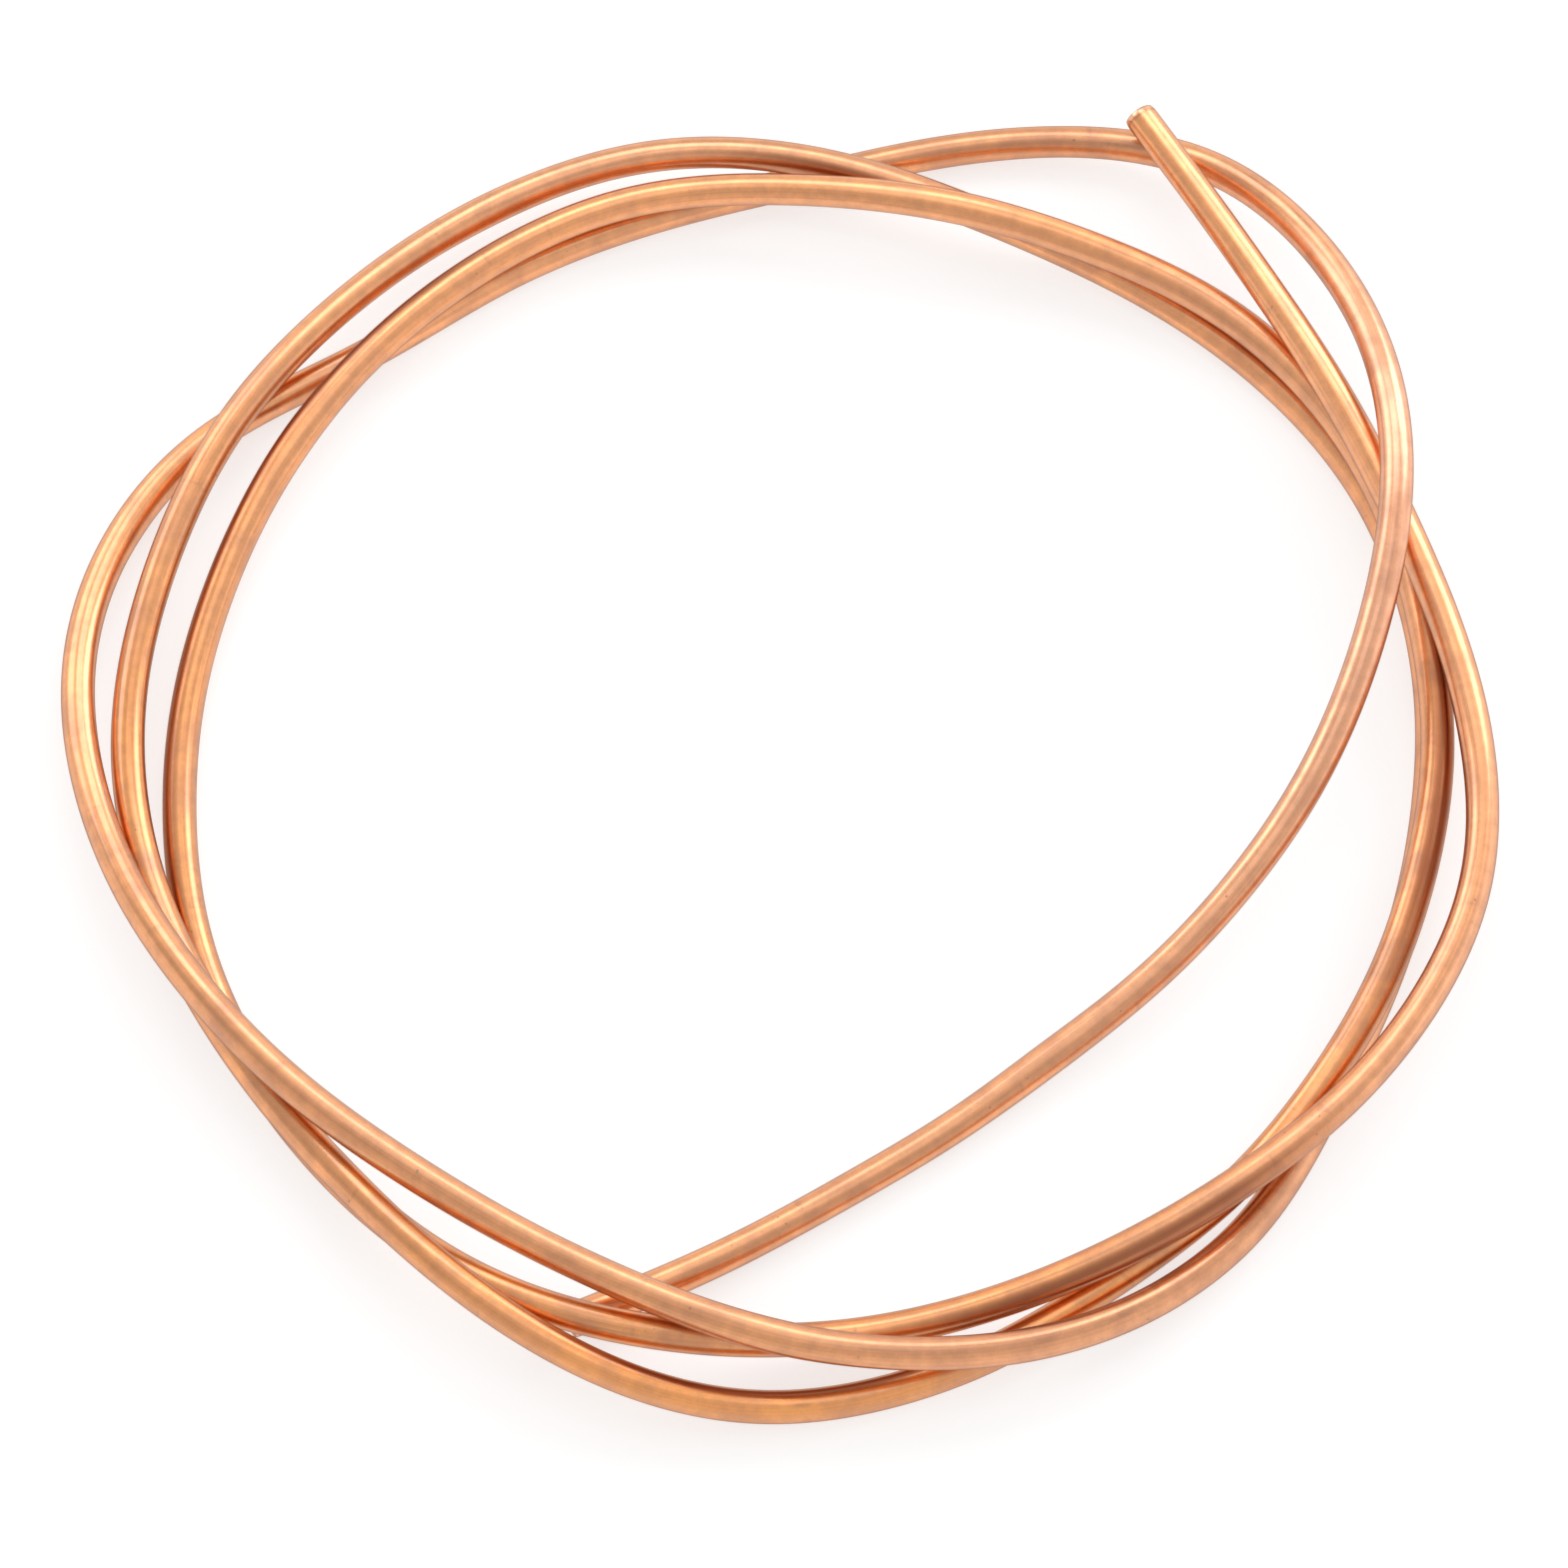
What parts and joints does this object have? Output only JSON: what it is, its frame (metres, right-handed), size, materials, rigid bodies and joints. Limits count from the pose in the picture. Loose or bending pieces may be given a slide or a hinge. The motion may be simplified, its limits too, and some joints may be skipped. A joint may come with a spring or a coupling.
{
  "type": "copper tube coil",
  "caption": "Length of soft copper tube wound by hand into a loose, flat coil of interlaced turns, one plain cut end standing clear and the other tucked under the turns.",
  "frame": {"origin": "on the floor, under the middle of the coil's bounding box", "axes": "+Z up, through the coil's flat side; seen from above with the free end at the upper right, +X points right and +Y points up"},
  "size_m": [0.2556, 0.2538, 0.0253],
  "materials": {
    "copper": "satin"
  },
  "bodies": {
    "root": {"copper_tube": "copper"}
  },
  "joints": []
}
